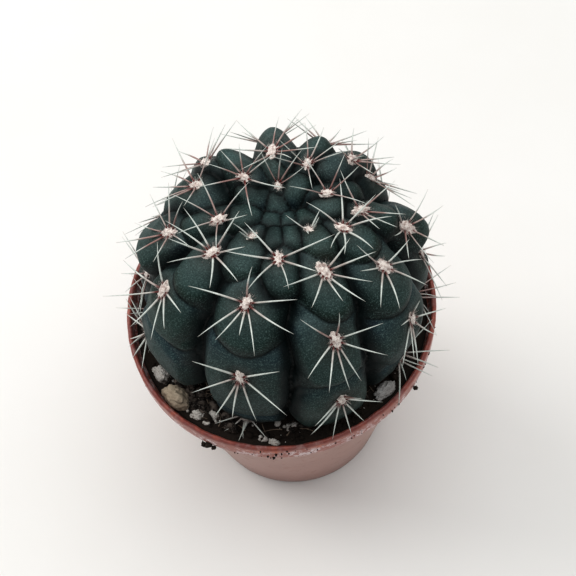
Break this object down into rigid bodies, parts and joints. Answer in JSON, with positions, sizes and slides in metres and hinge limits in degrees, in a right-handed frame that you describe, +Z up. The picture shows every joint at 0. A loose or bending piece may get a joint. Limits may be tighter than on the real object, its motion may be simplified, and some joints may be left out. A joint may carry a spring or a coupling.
{
  "type": "chin cactus in a pot",
  "caption": "Small globular chin cactus with knobbly ribs, woolly areoles and spines, growing in a round tapered plastic nursery pot with soil and loose stones.",
  "frame": {"origin": "centre of the flat underside of the pot", "axes": "+Z up along the pot's axis, -Y towards the front, +X to the right"},
  "size_m": [0.0588, 0.0557, 0.0845],
  "materials": {
    "plant": "matte plant skin",
    "spine": "horny, satin",
    "wool": "felt",
    "pot": "satin, dusty",
    "soil": "crumbly",
    "pebble": "matte",
    "perlite": "matte"
  },
  "bodies": {
    "root": {"cactus": "plant", "pot": "pot", "soil": "soil", "pebble": "pebble", "pumice_grain": "perlite", "perlite_1": "perlite", "perlite_2": "perlite", "perlite_3": "perlite", "perlite_4": "perlite", "perlite_5": "perlite", "perlite_6": "perlite", "perlite_7": "perlite"}
  },
  "joints": []
}
